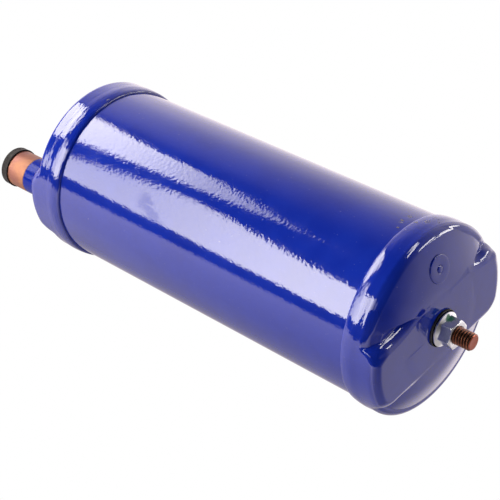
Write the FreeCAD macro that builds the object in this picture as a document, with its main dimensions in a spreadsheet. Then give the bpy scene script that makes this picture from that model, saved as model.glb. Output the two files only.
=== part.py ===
import FreeCAD, Part
import math
import os
import Sketcher
from FreeCAD import Placement, Rotation, Vector

# Suction accumulator. Millimetres, +Z up, origin at the middle of the bottom seating pad,
# both pipe stubs on the X axis.

DIMENSIONS = {
    # Shell and pressed caps
    "vessel_height": 258.0,
    "shell_od": 101.6,
    "shell_wall": 2.0,
    "cap_wall": 1.9,
    "cap_fit": 0.1,
    "bottom_depth": 21.4,
    "top_depth": 24.0,
    "bell_length": 7.2,
    "joggle_step": 0.4,
    "joggle_run": 1.2,
    "lip_round": 0.8,
    "ledge_depth": 6.2,
    "ledge_radius": 48.0,
    "crown_flat": 22.0,
    "knuckle": 3.5,
    "bar_near_side": 19.6,
    "bar_far_side": 21.5,
    "bar_end_radius": 51.2,
    "bar_depth": 12.0,
    "bar_taper": 25.0,
    "bar_corner": 7.0,
    "bar_round": 3.2,
    "taper_widening": 0.4663,
    "taper_wall": 1.1034,
    "long_pit_radius": 6.0,
    "long_pit_offset": 18.8,
    "long_pit_start": 15.5,
    "long_pit_slope": 12.0,
    "short_pit_radius": 5.0,
    "short_pit_offset": 17.6,
    "short_pit_start": 24.0,
    "short_pit_slope": 18.5,
    "weld_leg": 1.7,
    # Pipe stubs, their braze rings and dust caps
    "stub_offset": 30.9,
    "stub_od": 22.2,
    "stub_above": 38.2,
    "stub_below": 12.0,
    "socket_bore": 19.15,
    "socket_depth": 16.0,
    "stub_bore": 14.6,
    "tail_bore": 16.0,
    "tail_depth": 9.0,
    "stub_chamfer": 0.4,
    "braze_leg": 1.6,
    "dust_fit": 0.05,
    "dust_wall": 0.75,
    "dust_skirt": 4.1,
    "dust_end": 1.2,
    "dust_round": 0.35,
    # Outlet tube, oil pick-up and supports inside
    "tube_od": 15.88,
    "tube_wall": 1.0,
    "tube_spacing": 46.0,
    "tube_turn": 145.5,
    "bend_height": 43.0,
    "intake_height": 214.0,
    "orifice": 1.4,
    "baffle_height": 188.0,
    "baffle_radius": 48.5,
    "sheet": 1.2,
    "notch_radius": 6.5,
    "leg_clearance": 0.16,
    "tie_height": 64.0,
    "tie_width": 22.0,
    "tie_reach": 32.0,
    "tie_lug": 14.0,
    "collar_radius": 6.2,
    "collar_top": 16.5,
    "collar_base": 9.5,
    "collar_bore": 3.0,
    "screen_base": 4.2,
    "screen_wall": 0.5,
    # Mounting stud, washer and flange nut
    "stud_major": 9.525,
    "stud_shank": 9.0,
    "stud_length": 19.7,
    "stud_point": 0.8,
    "stud_head": 18.0,
    "stud_head_height": 2.4,
    "stud_hole": 9.6,
    "washer_od": 20.6,
    "washer_bore": 9.9,
    "washer_thickness": 1.5,
    "nut_flats": 14.29,
    "nut_height": 8.7,
    "nut_bore": 9.04,
    "nut_mouth": 10.6,
    "flange_od": 19.05,
    "flange_rim": 1.1,
    "flange_rise": 2.3,
    "hex_bevel": 0.7,
    # Fusible plug in the bottom cap's crown
    "plug_x": 3.0,
    "plug_y": -35.6,
    "plug_sink": 1.66,
    "plug_tilt": 13.8,
    "plug_od": 15.0,
    "plug_hole": 15.1,
    "plug_proud": 0.35,
    "plug_length": 5.5,
    "plug_edge": 0.45,
    "alloy_radius": 2.0,
    "alloy_dome": 0.7,
}

doc = FreeCAD.newDocument("suction_accumulator")
sheet = doc.addObject("Spreadsheet::Sheet", "Dimensions")
for row, (alias, value) in enumerate(DIMENSIONS.items(), start=1):
    sheet.set(f"A{row}", alias)
    sheet.set(f"B{row}", str(value))
    sheet.setAlias(f"B{row}", alias)
doc.recompute()


class Size:
    """A length that keeps the sheet expression it was worked out from."""

    def __init__(self, value, text):
        self.value = value
        self.text = text

    def joined(self, other, sign, value):
        return Size(value, f"({self.text} {sign} {as_size(other).text})")

    def __add__(self, other):
        return self.joined(other, "+", self.value + as_size(other).value)

    def __sub__(self, other):
        return self.joined(other, "-", self.value - as_size(other).value)

    def __mul__(self, other):
        return self.joined(other, "*", self.value * as_size(other).value)

    def __truediv__(self, other):
        return self.joined(other, "/", self.value / as_size(other).value)

    def __neg__(self):
        return Size(-self.value, f"(-1 * {self.text})")


def as_size(number):
    return number if isinstance(number, Size) else Size(float(number), f"{float(number):g}")


def dim(alias):
    return Size(float(sheet.get(alias)), f"Dimensions.{alias}")


ZERO = as_size(0)
UP = Vector(0, 0, 1)
X_AXIS = Vector(1, 0, 0)
Y_AXIS = Vector(0, 1, 0)


# Helpers for documents, sketches and features

def bind(obj, prop, size):
    obj.setExpression(prop, size.text)


def new_body(name):
    return doc.addObject("PartDesign::Body", name)


def plane_of(body, role):
    return next(item for item in body.Origin.OriginFeatures if item.Role == role)


def new_sketch(body, name, role="XZ_Plane", height=None):
    sketch = body.newObject("Sketcher::SketchObject", name)
    sketch.AttachmentSupport = (plane_of(body, role), "")
    sketch.MapMode = "FlatFace"
    if height is not None:
        sketch.AttachmentOffset = Placement(Vector(0, 0, height.value), Rotation())
        bind(sketch, "AttachmentOffset.Base.z", height)
    return sketch


def constrain(sketch, name, size, kind, *where):
    index = sketch.addConstraint(Sketcher.Constraint(kind, *where, size.value))
    sketch.renameConstraint(index, name)
    bind(sketch, f"Constraints.{name}", size)


def fix_point(sketch, label, geo, pos, point):
    """Ties a sketch point to the origin, one coordinate at a time."""
    for axis, kind, ref, size in (("x", "DistanceX", -2, point[0]), ("y", "DistanceY", -1, point[1])):
        if size is ZERO:
            sketch.addConstraint(Sketcher.Constraint("PointOnObject", geo, pos, ref))
        else:
            constrain(sketch, f"{label}{axis}", size, kind, -1, 1, geo, pos)


def arc_between(start, end, radius, side):
    """An arc from start to end; side 1 bulges to the left of the way, -1 to the right."""
    chord = end - start
    middle = (start + end) * 0.5
    left = Vector(-chord.y, chord.x, 0).normalize()
    rise = radius - max(radius ** 2 - chord.Length ** 2 / 4, 0) ** 0.5
    return Part.Arc(start, middle + left * side * rise, end)


def draw_outline(sketch, corners, arcs=None):
    """Draws a closed outline; arcs gives the radius and side of the sides that are round."""
    arcs = arcs or {}
    points = [Vector(x.value, y.value, 0) for x, y in corners]
    ends = []
    for i, start in enumerate(points):
        end = points[(i + 1) % len(points)]
        if i in arcs:
            geo = sketch.addGeometry(arc_between(start, end, arcs[i][0].value, arcs[i][1]), False)
            constrain(sketch, f"arc{i}", arcs[i][0], "Radius", geo)
        else:
            geo = sketch.addGeometry(Part.LineSegment(start, end), False)
        first = 1 if (sketch.getPoint(geo, 1) - start).Length < 1e-4 else 2
        ends.append((geo, first, 3 - first))
    for i, (geo, first, last) in enumerate(ends):
        following = ends[(i + 1) % len(ends)]
        sketch.addConstraint(Sketcher.Constraint("Coincident", geo, last, following[0], following[1]))
        fix_point(sketch, f"p{i}", geo, first, corners[i])


def draw_circle(sketch, label, radius, at=(ZERO, ZERO)):
    centre = Vector(at[0].value, at[1].value, 0)
    geo = sketch.addGeometry(Part.Circle(centre, UP, radius.value), False)
    fix_point(sketch, label, geo, 3, at)
    constrain(sketch, f"{label}r", radius, "Radius", geo)


def revolve(body, name, corners, arcs=None):
    sketch = new_sketch(body, f"{name}_profile")
    draw_outline(sketch, corners, arcs)
    turned = body.newObject("PartDesign::Revolution", name)
    turned.Profile = sketch
    turned.ReferenceAxis = (sketch, ["V_Axis"])
    turned.Angle = 360
    doc.recompute()
    return turned


def pad(body, name, sketch, length, taper=None):
    feature = body.newObject("PartDesign::Pad", name)
    feature.Profile = sketch
    bind(feature, "Length", length)
    if taper is not None:
        bind(feature, "TaperAngle", taper)
    doc.recompute()
    return feature


def dress(body, kind, base, edges, size, prop):
    feature = body.newObject(f"PartDesign::{kind}", f"{base.Name}_{kind.lower()}")
    feature.Base = (base, edges)
    bind(feature, prop, size)
    doc.recompute()
    return feature


def round_edges(body, base, edges, radius):
    return dress(body, "Fillet", base, edges, radius, "Radius")


def bevel_edges(body, base, edges, size):
    return dress(body, "Chamfer", base, edges, size, "Size")


def ring_edges(feature, radius, height):
    """The names of the round edges with this radius at this height."""
    found = []
    for number, edge in enumerate(feature.Shape.Edges, start=1):
        box = edge.BoundBox
        if box.ZLength < 1e-6 and abs(box.ZMin - height.value) < 1e-4:
            if hasattr(edge.Curve, "Radius") and abs(edge.Curve.Radius - radius.value) < 1e-4:
                found.append(f"Edge{number}")
    return found


def edges_where(feature, test):
    return [f"Edge{n}" for n, edge in enumerate(feature.Shape.Edges, start=1) if test(edge)]


def cylinder(name, radius, height, base_z=ZERO, at=(ZERO, ZERO)):
    solid = doc.addObject("Part::Cylinder", name)
    bind(solid, "Radius", radius)
    bind(solid, "Height", height)
    for prop, size in (("x", at[0]), ("y", at[1]), ("z", base_z)):
        bind(solid, f"Placement.Base.{prop}", size)
    return solid


def cut(name, base, tool):
    result = doc.addObject("Part::Cut", name)
    result.Base = base
    result.Tool = tool
    result.Refine = True
    return result


def cut_all(name, base, tools):
    """Cuts the tools one after another; the last cut carries the name."""
    for number, tool in enumerate(tools, start=1):
        base = cut(name if number == len(tools) else f"{name}_cut_{number}", base, tool)
    return base


def place(obj, x=ZERO, y=ZERO, z=ZERO, rotation=None):
    obj.Placement = Placement(Vector(x.value, y.value, z.value), rotation or Rotation())
    for prop, size in (("x", x), ("y", y), ("z", z)):
        if size is not ZERO:
            bind(obj, f"Placement.Base.{prop}", size)


parts = []


def hand_in(obj, label):
    obj.Label = label
    parts.append(obj)
    return obj


# Derived sizes

shell_radius = dim("shell_od") / 2
bell_radius = shell_radius + dim("cap_fit") + dim("cap_wall")
body_radius = bell_radius - dim("joggle_step")
stub_radius = dim("stub_od") / 2
tube_radius = dim("tube_od") / 2
top = dim("vessel_height")


# The shell, a plain steel tube seated in both caps

def joggle_start(depth):
    """Where the skirt steps out into its bell, from the pad."""
    return depth - dim("bell_length") - dim("joggle_run")


def make_shell():
    low = joggle_start(dim("bottom_depth")) + dim("joggle_run")
    high = top - joggle_start(dim("top_depth")) - dim("joggle_run")
    body = new_body("shell_body")
    sketch = new_sketch(body, "shell_section", "XY_Plane", low)
    draw_circle(sketch, "outer", shell_radius)
    draw_circle(sketch, "inner", shell_radius - dim("shell_wall"))
    pad(body, "shell_tube", sketch, high - low)
    return hand_in(body, "shell")


# The pressed caps: a crowned head with a flat bar across it, two lobes to the rim, a pit at either
# end of the bar's near side, a narrow ledge and a joggled skirt that slips over the shell

def crown_form(name, depth, inset):
    """The turned part of a cap, inset by the sheet's thickness for its inside."""
    flat, ledge = dim("crown_flat"), dim("ledge_radius")
    rise = dim("ledge_depth")
    crown = ((ledge - flat) * (ledge - flat) + rise * rise) / (rise * 2)
    wide = body_radius - inset
    bell = bell_radius - inset
    step = joggle_start(depth)
    edge = ledge - inset * (ledge - flat) / crown
    shelf = rise + inset * (crown - rise) / crown
    corners = [(ZERO, inset), (flat, inset), (edge, shelf), (wide, shelf), (wide, step),
               (bell, step + dim("joggle_run")), (bell, depth), (ZERO, depth)]
    body = new_body(name)
    turned = revolve(body, f"{name}_turned", corners, {1: (crown - inset, -1)})
    rounded = round_edges(body, turned, ring_edges(turned, wide, shelf), dim("knuckle") - inset)
    if inset is ZERO:
        round_edges(body, rounded, ring_edges(rounded, bell, depth), dim("lip_round"))
    return body


def bar_form(name, inset):
    """The flat bar across the crown, with sloping walls and rounded corners."""
    narrow = inset * dim("taper_wall") - inset * dim("taper_widening")
    near, far = dim("bar_near_side") - narrow, dim("bar_far_side") - narrow
    end = dim("bar_end_radius") - narrow
    near_reach, far_reach = (
        Size((end.value ** 2 - side.value ** 2) ** 0.5, f"sqrt({end.text} ^ 2 - {side.text} ^ 2)")
        for side in (near, far))
    body = new_body(name)
    sketch = new_sketch(body, f"{name}_outline", "XY_Plane", inset if inset is not ZERO else None)
    corners = [(-near_reach, -near), (near_reach, -near), (far_reach, far), (-far_reach, far)]
    draw_outline(sketch, corners, {1: (end, -1), 3: (end, -1)})
    raised = pad(body, f"{name}_raised", sketch, dim("bar_depth"), dim("bar_taper"))
    slanted = edges_where(raised, lambda e: e.BoundBox.ZLength > dim("bar_depth").value - 0.1)
    cornered = round_edges(body, raised, slanted, dim("bar_corner") - narrow)
    face_edges = edges_where(cornered, lambda e: e.BoundBox.ZMax < inset.value + 1e-4)
    round_edges(body, cornered, face_edges, dim("bar_round") - inset)
    limit = cylinder(f"{name}_limit", body_radius - inset, dim("bar_depth") * 2)
    trimmed = doc.addObject("Part::Common", f"{name}_trimmed")
    trimmed.Base = body
    trimmed.Tool = limit
    return trimmed


def pit_grooves(name, inset):
    """Sloping round grooves at the bar's near corners, which deepen towards the rim."""
    grooves = []
    for pit, ahead in (("long_pit", -1), ("short_pit", 1)):
        groove = cylinder(f"{name}_{pit}", dim(f"{pit}_radius") + inset, dim("shell_od") / 2)
        slope, back = dim(f"{pit}_slope").value, dim(f"{pit}_radius").value
        rise, run = back * math.sin(math.radians(slope)), back * math.cos(math.radians(slope))
        start = (dim(f"{pit}_start").value + rise - run) * ahead
        groove.setExpression("Placement.Base.x", None)
        groove.setExpression("Placement.Base.z", None)
        groove.Placement = Placement(Vector(start, -dim(f"{pit}_offset").value, -run - rise),
                                     Rotation(Y_AXIS, (90 - slope) * ahead))
        bind(groove, "Placement.Base.y", -dim(f"{pit}_offset"))
        grooves.append(groove)
    return grooves


def pressed_form(name, depth, inset):
    form = doc.addObject("Part::Fuse", f"{name}_joined")
    form.Base = crown_form(f"{name}_crown", depth, inset)
    form.Tool = bar_form(f"{name}_bar", inset)
    form.Refine = True
    pressed = cut_all(name, form, pit_grooves(name, inset))
    doc.recompute()
    return pressed


def make_cap(label, depth, holes):
    outside = pressed_form(f"{label}_outside", depth, ZERO)
    inside = pressed_form(f"{label}_inside", depth, dim("cap_wall"))
    return hand_in(cut_all(f"{label}_pressing", outside, [inside] + holes), label)


def make_bottom_cap():
    stud_hole = cylinder("stud_hole", dim("stud_hole") / 2, dim("cap_wall") * 3, -dim("cap_wall"))
    radius, reach = dim("plug_hole") / 2, dim("plug_length") * 2
    plug_hole = new_body("plug_hole")
    revolve(plug_hole, "plug_hole_turned", [(ZERO, -reach), (radius, -reach), (radius, reach), (ZERO, reach)])
    place(plug_hole, dim("plug_x"), dim("plug_y"), dim("plug_sink"), plug_rotation())
    return make_cap("bottom_cap", dim("bottom_depth"), [stud_hole, plug_hole])


def make_top_cap():
    holes = []
    for side, sign in (("inlet", -1), ("outlet", 1)):
        at = (dim("stub_offset") * sign, ZERO)
        holes.append(cylinder(f"{side}_hole", stub_radius + 0.05, dim("cap_wall") * 6, -dim("cap_wall"), at))
    cap = make_cap("top_cap", dim("top_depth"), holes)
    place(cap, z=top, rotation=Rotation(X_AXIS, 180))
    return cap


# The weld beads that close the joint between each skirt and the shell

def make_weld(label, lip, direction):
    foot = shell_radius + 0.02
    crest = bell_radius - dim("lip_round") / 2
    toe = lip + dim("weld_leg") * direction
    corners = [(foot, lip), (crest, lip), (foot, toe)]
    body = new_body(f"{label}_body")
    revolve(body, f"{label}_bead", corners, {1: (dim("weld_leg") * 2, -direction)})
    return hand_in(body, label)


# Copper stubs with a solder socket at the top

def make_stub(label, sign, tail_bore, tail_depth):
    low = top - dim("stub_below")
    high = top + dim("stub_above")
    socket, bore = dim("socket_bore") / 2, dim("stub_bore") / 2
    corners = [(tail_bore, low), (stub_radius, low), (stub_radius, high), (socket, high)]
    corners += [(socket, high - dim("socket_depth")), (bore, high - dim("socket_depth"))]
    corners += [(bore, low + tail_depth), (tail_bore, low + tail_depth)]
    body = new_body(f"{label}_body")
    turned = revolve(body, f"{label}_turned", corners)
    mouth = ring_edges(turned, stub_radius, high) + ring_edges(turned, socket, high)
    bevel_edges(body, turned, mouth, dim("stub_chamfer"))
    place(body, x=dim("stub_offset") * sign)
    return hand_in(body, label)


def make_stub_braze(label, sign):
    foot, leg = stub_radius + 0.02, dim("braze_leg")
    corners = [(foot, top), (foot + leg, top), (foot, top + leg)]
    body = new_body(f"{label}_body")
    revolve(body, f"{label}_ring", corners, {1: (leg, 1)})
    place(body, x=dim("stub_offset") * sign)
    return hand_in(body, label)


def make_dust_cap(label, sign):
    inner = stub_radius + dim("dust_fit")
    outer = inner + dim("dust_wall")
    seat = top + dim("stub_above") + 0.05
    low, high = seat - dim("dust_skirt"), seat + dim("dust_end")
    corners = [(ZERO, seat), (inner, seat), (inner, low), (outer, low), (outer, high), (ZERO, high)]
    body = new_body(f"{label}_body")
    moulded = revolve(body, f"{label}_moulded", corners)
    rims = ring_edges(moulded, outer, high) + ring_edges(moulded, outer, low)
    round_edges(body, moulded, rims, dim("dust_round"))
    place(body, x=dim("stub_offset") * sign)
    return hand_in(body, label)


# The outlet tube inside: down, round the return bend and up to its open mouth

def tube_placement():
    return Rotation(UP, dim("tube_turn").value)


def leg_points():
    """The middles of the outlet leg, the bend's lowest point and the intake leg, seen from above."""
    start = Vector(dim("stub_offset").value, 0, 0)
    way = tube_placement().multVec(X_AXIS) * dim("tube_spacing").value
    return start, start + way * 0.5, start + way


def make_outlet_tube():
    half = dim("tube_spacing") / 2
    high = top - dim("stub_below") + dim("tail_depth") - 0.2
    body = new_body("outlet_tube_body")
    place(body, x=dim("stub_offset"), rotation=tube_placement())
    path = new_sketch(body, "outlet_tube_path")
    bend = dim("bend_height")
    heights = [(ZERO, high), (ZERO, bend), (half * 2, bend), (half * 2, dim("intake_height"))]
    points = [Vector(x.value, z.value, 0) for x, z in heights]
    down = path.addGeometry(Part.LineSegment(points[0], points[1]), False)
    around = path.addGeometry(
        Part.Arc(points[1], Vector(half.value, (bend - half).value, 0), points[2]), False)
    rise = path.addGeometry(Part.LineSegment(points[2], points[3]), False)
    path.addConstraint(Sketcher.Constraint("Tangent", down, 2, around, 1))
    path.addConstraint(Sketcher.Constraint("Tangent", around, 2, rise, 1))
    fix_point(path, "head", down, 1, heights[0])
    fix_point(path, "foot", down, 2, heights[1])
    constrain(path, "bend_radius", half, "Radius", around)
    constrain(path, "intake_y", dim("intake_height"), "DistanceY", -1, 1, rise, 2)
    path.addConstraint(Sketcher.Constraint("Vertical", rise))
    section = new_sketch(body, "outlet_tube_section", "XY_Plane", high)
    draw_circle(section, "outer", tube_radius)
    draw_circle(section, "inner", tube_radius - dim("tube_wall"))
    pipe = body.newObject("PartDesign::AdditivePipe", "outlet_tube_pipe")
    pipe.Profile = section
    pipe.Spine = path
    doc.recompute()
    low_point = leg_points()[1]
    orifice = cylinder("oil_orifice", dim("orifice") / 2, tube_radius)
    orifice.Placement.Base = Vector(low_point.x, low_point.y, (bend - half - tube_radius * 1.5).value)
    for axis in ("x", "y", "z"):
        orifice.setExpression(f"Placement.Base.{axis}", None)
    return hand_in(cut("outlet_tube_drilled", body, orifice), "outlet_tube")


def make_baffle():
    """A round plate that the inlet stream strikes, notched at its rim so that liquid drains."""
    outlet, _, intake = leg_points()
    body = new_body("baffle_body")
    section = new_sketch(body, "baffle_outline", "XY_Plane", dim("baffle_height"))
    draw_circle(section, "rim", dim("baffle_radius"))
    plate = pad(body, "baffle_blank", section, dim("sheet"))
    legs = new_sketch(body, "baffle_leg_holes", "XY_Plane", dim("baffle_height"))
    hole = tube_radius + dim("leg_clearance")
    draw_circle(legs, "outlet", hole, (dim("stub_offset"), ZERO))
    draw_circle(legs, "intake", hole, (as_size(intake.x), as_size(intake.y)))
    pocket(body, "baffle_leg_pocket", legs, dim("sheet") * 2, plate)
    tools = []
    for number, angle in enumerate((180, 225, 270, 315, 60), start=1):
        spot = Rotation(UP, angle).multVec(X_AXIS) * dim("baffle_radius").value
        notch = cylinder(f"baffle_notch_{number}", dim("notch_radius"), dim("sheet") * 3,
                         dim("baffle_height") - dim("sheet"), (as_size(spot.x), as_size(spot.y)))
        tools.append(notch)
    return hand_in(cut_all("baffle_notched", body, tools), "baffle_plate")


def pocket(body, name, sketch, depth, before):
    """Cuts on both sides of the sketch, and makes sure that it took something away."""
    feature = body.newObject("PartDesign::Pocket", name)
    feature.Profile = sketch
    feature.Midplane = True
    bind(feature, "Length", depth * 2)
    doc.recompute()
    if feature.Shape.Volume >= before.Shape.Volume - 1e-3:
        raise RuntimeError(f"{name} removes nothing")
    return feature


def make_tie_bracket():
    """A plate that ties the two legs together, with a lug welded to the shell wall."""
    half, reach = dim("tube_spacing") / 2, dim("tie_reach")
    body = new_body("tie_body")
    place(body, x=dim("stub_offset"), rotation=tube_placement())
    wide = dim("tie_width") / 2
    section = new_sketch(body, "tie_outline", "XY_Plane", dim("tie_height"))
    corners = [(ZERO, -wide), (half * 2, -wide), (half * 2, wide), (ZERO, wide)]
    draw_outline(section, corners, {1: (wide * 1.2, -1), 3: (wide * 1.2, -1)})
    plate = pad(body, "tie_plate", section, dim("sheet"))
    lug_edge = shell_radius - dim("shell_wall") - 0.3
    lug = new_sketch(body, "tie_lug_outline", "XY_Plane", dim("tie_height"))
    lug_half = dim("tie_lug") / 2
    root = dim("sheet") - wide
    draw_outline(lug, [(half - lug_half, root), (half - lug_half, -reach), (half + lug_half, -reach),
                       (half + lug_half, root)])
    arm = pad(body, "tie_arm", lug, dim("sheet"))
    holes = new_sketch(body, "tie_holes", "XY_Plane", dim("tie_height"))
    hole = tube_radius + dim("leg_clearance")
    draw_circle(holes, "outlet", hole)
    draw_circle(holes, "intake", hole, (half * 2, ZERO))
    pocket(body, "tie_pocket", holes, dim("sheet") * 2, arm)
    limit = cylinder("tie_limit", lug_edge, dim("sheet") * 3, dim("tie_height") - dim("sheet"))
    trimmed = doc.addObject("Part::Common", "tie_trimmed")
    trimmed.Base = body
    trimmed.Tool = limit
    return hand_in(trimmed, "tube_bracket")


def make_strainer():
    """The oil pick-up: a brass collar saddled on the bend and a wire screen cup below it."""
    _, low_point, _ = leg_points()
    spot = (as_size(low_point.x), as_size(low_point.y))
    base, high = dim("collar_base"), dim("collar_top")
    block = cylinder("collar_block", dim("collar_radius"), high - base, base, spot)
    bore = cylinder("collar_bore", dim("collar_bore"), high, ZERO, spot)
    saddle = doc.addObject("Part::Torus", "collar_saddle")
    bind(saddle, "Radius1", dim("tube_spacing") / 2)
    bind(saddle, "Radius2", tube_radius + 0.05)
    upright = Rotation(UP, tube_placement().multVec(Y_AXIS))
    saddle.Placement = Placement(Vector(low_point.x, low_point.y, dim("bend_height").value), upright)
    hand_in(cut_all("collar_turned", block, [bore, saddle]), "strainer_collar")

    screen_base, wall = dim("screen_base"), dim("screen_wall")
    outer = cylinder("screen_outer", dim("collar_radius"), base - screen_base, screen_base, spot)
    inner = cylinder("screen_inner", dim("collar_radius") - wall, base, screen_base + wall, spot)
    hand_in(cut("screen_cup", outer, inner), "oil_strainer")


# Mounting stud, its washer and its nut, below the pad

def make_stud():
    major, shank = dim("stud_major") / 2, dim("stud_shank") / 2
    head, wall = dim("stud_head") / 2, dim("cap_wall")
    free = -dim("washer_thickness") - dim("nut_height")
    tip = -dim("stud_length")
    corners = [(ZERO, wall + dim("stud_head_height")), (head, wall + dim("stud_head_height")),
               (head, wall), (shank, wall), (shank, free), (major, free), (major, tip), (ZERO, tip)]
    body = new_body("stud_body")
    turned = revolve(body, "stud_turned", corners)
    pointed = bevel_edges(body, turned, ring_edges(turned, major, tip), dim("stud_point"))
    crown = wall + dim("stud_head_height")
    round_edges(body, pointed, ring_edges(pointed, head, crown), dim("stud_point"))
    return hand_in(body, "mounting_stud")


def make_stud_braze():
    foot, leg = dim("stud_head") / 2 + 0.02, dim("braze_leg")
    wall = dim("cap_wall")
    body = new_body("stud_braze_body")
    revolve(body, "stud_braze_ring", [(foot, wall), (foot + leg, wall), (foot, wall + leg)], {1: (leg, 1)})
    return hand_in(body, "stud_braze")


def make_washer():
    body = new_body("washer_body")
    section = new_sketch(body, "washer_outline", "XY_Plane", -dim("washer_thickness"))
    draw_circle(section, "rim", dim("washer_od") / 2)
    draw_circle(section, "bore", dim("washer_bore") / 2)
    pad(body, "washer_ring", section, dim("washer_thickness"))
    return hand_in(body, "sealing_washer")


def make_nut():
    """A hexagon with bevelled corners on a coned flange, bored through."""
    seat = -dim("washer_thickness")
    low = seat - dim("nut_height")
    bore, mouth = dim("nut_bore") / 2, dim("nut_mouth") / 2
    flange, flats = dim("flange_od") / 2, dim("nut_flats") / 2
    corner = Size(flats.value / 0.75 ** 0.5, f"({flats.text} / sqrt(0.75))")
    hexagon = doc.addObject("Part::Prism", "nut_hexagon")
    hexagon.Polygon = 6
    bind(hexagon, "Circumradius", corner)
    bind(hexagon, "Height", dim("nut_height"))
    place(hexagon, z=low)
    bevel = dim("hex_bevel")
    envelope_body = new_body("nut_envelope")
    corners = [(ZERO, low), (flats, low), (corner + 0.05, low + bevel), (corner + 0.05, seat), (ZERO, seat)]
    revolve(envelope_body, "nut_envelope_turned", corners)
    bevelled = doc.addObject("Part::Common", "nut_bevelled")
    bevelled.Base = hexagon
    bevelled.Tool = envelope_body
    flange_body = new_body("nut_flange")
    rim = seat - dim("flange_rim")
    corners = [(ZERO, seat), (flange, seat), (flange, rim), (flats, rim - dim("flange_rise") / 2),
               (ZERO, rim - dim("flange_rise") / 2)]
    turned = revolve(flange_body, "nut_flange_turned", corners)
    round_edges(flange_body, turned, ring_edges(turned, flange, rim), dim("dust_round"))
    joined = doc.addObject("Part::Fuse", "nut_joined")
    joined.Base = bevelled
    joined.Tool = flange_body
    joined.Refine = True
    hole_body = new_body("nut_hole")
    sink = mouth - bore
    corners = [(ZERO, low - 1), (mouth + 1, low - 1), (bore, low + sink), (bore, seat - sink),
               (mouth + 1, seat + 1), (ZERO, seat + 1)]
    revolve(hole_body, "nut_hole_turned", corners)
    return hand_in(cut("nut_bored", joined, hole_body), "flange_nut")


# Fusible plug: a slug brazed into the crown with a low-melting core

def plug_rotation():
    """Turns the slug's axis to the crown's outward normal."""
    across = math.degrees(math.atan2(dim("plug_x").value, -dim("plug_y").value))
    return Rotation(UP, across).multiply(Rotation(X_AXIS, 180 - dim("plug_tilt").value))


def make_fusible_plug():
    outer, core = dim("plug_od") / 2, dim("alloy_radius")
    face, back = dim("plug_proud"), dim("plug_proud") - dim("plug_length")
    slug = new_body("plug_body")
    turned = revolve(slug, "plug_turned", [(core, face), (outer, face), (outer, back), (core, back)])
    bevel_edges(slug, turned, ring_edges(turned, outer, face), dim("plug_edge"))
    place(slug, dim("plug_x"), dim("plug_y"), dim("plug_sink"), plug_rotation())
    hand_in(slug, "fusible_plug")

    edge, crest = core - 0.01, face + dim("alloy_dome")
    alloy = new_body("alloy_body")
    corners = [(ZERO, back), (edge, back), (edge, face), (core * 0.3, crest), (ZERO, crest)]
    revolve(alloy, "alloy_cast", corners, {2: (core, -1)})
    place(alloy, dim("plug_x"), dim("plug_y"), dim("plug_sink"), plug_rotation())
    return hand_in(alloy, "fusible_alloy")


make_shell()
make_bottom_cap()
make_top_cap()
make_weld("bottom_weld", dim("bottom_depth"), 1)
make_weld("top_weld", top - dim("top_depth"), -1)
make_stub("inlet_stub", -1, dim("stub_bore") / 2 + 1, dim("tail_depth") / 3)
make_stub("outlet_stub", 1, dim("tail_bore") / 2, dim("tail_depth"))
for side, sign in (("inlet", -1), ("outlet", 1)):
    make_stub_braze(f"{side}_braze", sign)
    make_dust_cap(f"{side}_dust_cap", sign)
make_outlet_tube()
make_baffle()
make_tie_bracket()
make_strainer()
make_stud()
make_stud_braze()
make_washer()
make_nut()
make_fusible_plug()
doc.recompute()

for obj in doc.Objects:
    if "Invalid" in obj.State or "Error" in obj.State:
        raise RuntimeError(f"{obj.Name} did not recompute: {obj.State}")
os.makedirs("parts", exist_ok=True)
for obj in parts:
    shape = obj.Shape
    if shape.isNull() or not shape.isValid() or len(shape.Solids) != 1:
        raise RuntimeError(f"{obj.Label} is not one valid solid")
    shape.exportStep(f"parts/{obj.Label}.step")
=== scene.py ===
import math

import bpy
import numpy as np
from mathutils import Matrix, Vector


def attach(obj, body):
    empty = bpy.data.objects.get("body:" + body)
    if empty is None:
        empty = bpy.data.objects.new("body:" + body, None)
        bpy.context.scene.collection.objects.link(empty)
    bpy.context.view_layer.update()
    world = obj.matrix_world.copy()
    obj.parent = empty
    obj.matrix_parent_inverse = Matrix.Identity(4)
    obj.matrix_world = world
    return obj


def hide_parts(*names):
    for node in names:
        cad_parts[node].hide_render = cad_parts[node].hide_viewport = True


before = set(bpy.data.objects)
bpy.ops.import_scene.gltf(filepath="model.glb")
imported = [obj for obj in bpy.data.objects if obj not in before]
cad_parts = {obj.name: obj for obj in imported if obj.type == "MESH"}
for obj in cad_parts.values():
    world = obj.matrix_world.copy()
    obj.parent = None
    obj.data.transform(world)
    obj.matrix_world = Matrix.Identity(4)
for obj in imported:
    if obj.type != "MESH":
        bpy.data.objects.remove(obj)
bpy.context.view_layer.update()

# Millimetres until a mesh is made: +Z up the axis, origin in the bottom pad's middle, stubs along X
MM = 0.001
NEAR_AXIS = 0.001
VESSEL_HEIGHT = 258.0
SHELL_RADIUS, SHELL_WALL = 50.8, 2.0
SHELL_ROWS, SHELL_STEPS, SMALL_STEPS = 24, 512, 128

# Caps: wall, depth, and the skirt with its bell over the shell, which curls in a little at the lip
CAP_WALL = 1.9
BOTTOM_DEPTH, TOP_DEPTH = 21.4, 24.0
BODY_RADIUS, BELL_RADIUS = 52.6, 52.8
BELL_LENGTH, JOGGLE_SPREAD = 7.2, 4.0
BARREL_LENGTH, BARREL_DROP = 5.4, 0.45

# Crown: a flat middle, a dish out to the ledge, and the knuckle at the rim
CROWN_FLAT, LEDGE_RADIUS, LEDGE_DEPTH = 22.0, 48.0, 6.2
KNUCKLE = 3.5

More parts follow.
